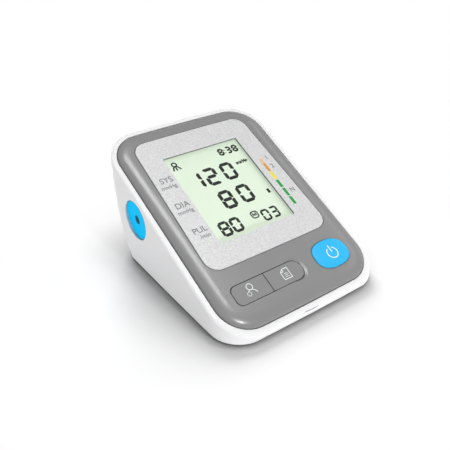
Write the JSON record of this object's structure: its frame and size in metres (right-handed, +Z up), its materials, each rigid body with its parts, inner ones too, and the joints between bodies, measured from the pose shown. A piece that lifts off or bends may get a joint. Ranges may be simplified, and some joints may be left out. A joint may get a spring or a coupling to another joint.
{
  "type": "digital blood pressure monitor",
  "caption": "Desk-top upper-arm blood pressure monitor: white wedge case, grey cover, silver plate, display window, push keys and a side air socket.",
  "frame": {"origin": "on the table, under the middle of the case's outline", "axes": "+X to the user's right, +Y away from the user, +Z up; the user stands on the -Y side"},
  "size_m": [0.1068, 0.1309, 0.0651],
  "materials": {
    "white_plastic": "moulded white plastic, semi-gloss with a fine spark texture",
    "grey_plastic": "moulded mid grey plastic, satin",
    "silver_plate": "silver paint with a fine metallic speckle, satin",
    "clear_plastic": "clear polished plastic window",
    "display_glass": "reflective display glass, pale green",
    "natural_plastic": "unpainted moulded plastic",
    "blue_plastic": "moulded light blue plastic, satin",
    "socket_plastic": "moulded blue plastic, satin",
    "board_laminate": "green circuit board",
    "black_plastic": "moulded black plastic",
    "black_rubber": "soft black rubber",
    "grey_rubber": "striped conductive rubber",
    "clear_hose": "translucent silicone hose",
    "motor_can": "zinc plated motor can",
    "steel": "zinc plated steel",
    "contact_plate": "nickel plated spring steel",
    "cell_wrap": "plain printed sleeve over a metal can"
  },
  "bodies": {
    "case": {"base_housing": "white_plastic", "top_cover": "grey_plastic", "face_plate": "silver_plate", "display_window": "clear_plastic", "lcd_glass": "display_glass", "lcd_holder": "natural_plastic", "backlight_panel": "natural_plastic", "air_tee": "natural_plastic", "pump_head": "natural_plastic", "air_socket": "socket_plastic", "main_board": "board_laminate", "controller_chip": "black_plastic", "buzzer": "black_plastic", "pressure_sensor": "black_plastic", "power_switch": "black_plastic", "user_switch": "black_plastic", "memory_switch": "black_plastic", "socket_nut": "black_plastic", "exhaust_valve": "black_plastic", "pump_sleeve": "black_rubber", "foot_1": "black_rubber", "foot_2": "black_rubber", "foot_3": "black_rubber", "foot_4": "black_rubber", "display_connector": "grey_rubber", "pump_hose": "clear_hose", "valve_hose": "clear_hose", "socket_hose": "clear_hose", "sensor_hose": "clear_hose", "pump_motor": "motor_can", "board_screw_1": "steel", "board_screw_2": "steel", "board_screw_3": "steel", "board_screw_4": "steel", "case_screw_1": "steel", "case_screw_2": "steel", "case_screw_3": "steel", "case_screw_4": "steel", "negative_terminal": "contact_plate", "front_link": "contact_plate", "positive_terminal": "contact_plate", "back_link_left": "contact_plate", "back_link_right": "contact_plate", "battery_1": "cell_wrap", "battery_2": "cell_wrap", "battery_3": "cell_wrap", "battery_4": "cell_wrap"},
    "power_key": {"power_button": "blue_plastic", "power_plunger": "black_plastic"},
    "user_key": {"user_button": "grey_plastic", "user_plunger": "black_plastic"},
    "memory_key": {"memory_button": "grey_plastic", "memory_plunger": "black_plastic"},
    "battery_door": {"battery_cover": "white_plastic"},
    "pump_rotor": {"pump_shaft": "steel"}
  },
  "joints": [
    {"name": "power_press", "type": "slide", "parent": "case", "child": "power_key", "axis": [0, 0.4163, -0.9092], "range_m": [0, 0.0006], "stiffness_N_per_m": 1200},
    {"name": "user_press", "type": "slide", "parent": "case", "child": "user_key", "axis": [0, 0.4163, -0.9092], "range_m": [0, 0.0006], "stiffness_N_per_m": 1200},
    {"name": "memory_press", "type": "slide", "parent": "case", "child": "memory_key", "axis": [0, 0.4163, -0.9092], "range_m": [0, 0.0006], "stiffness_N_per_m": 1200},
    {"name": "battery_door_slide", "type": "slide", "parent": "case", "child": "battery_door", "axis": [0, 1, 0], "range_m": [0, 0.062]},
    {"name": "pump_spin", "type": "hinge", "parent": "case", "child": "pump_rotor", "pos_m": [0, 0.04368, 0.0349], "axis": [1, 0, 0], "continuous": true}
  ]
}
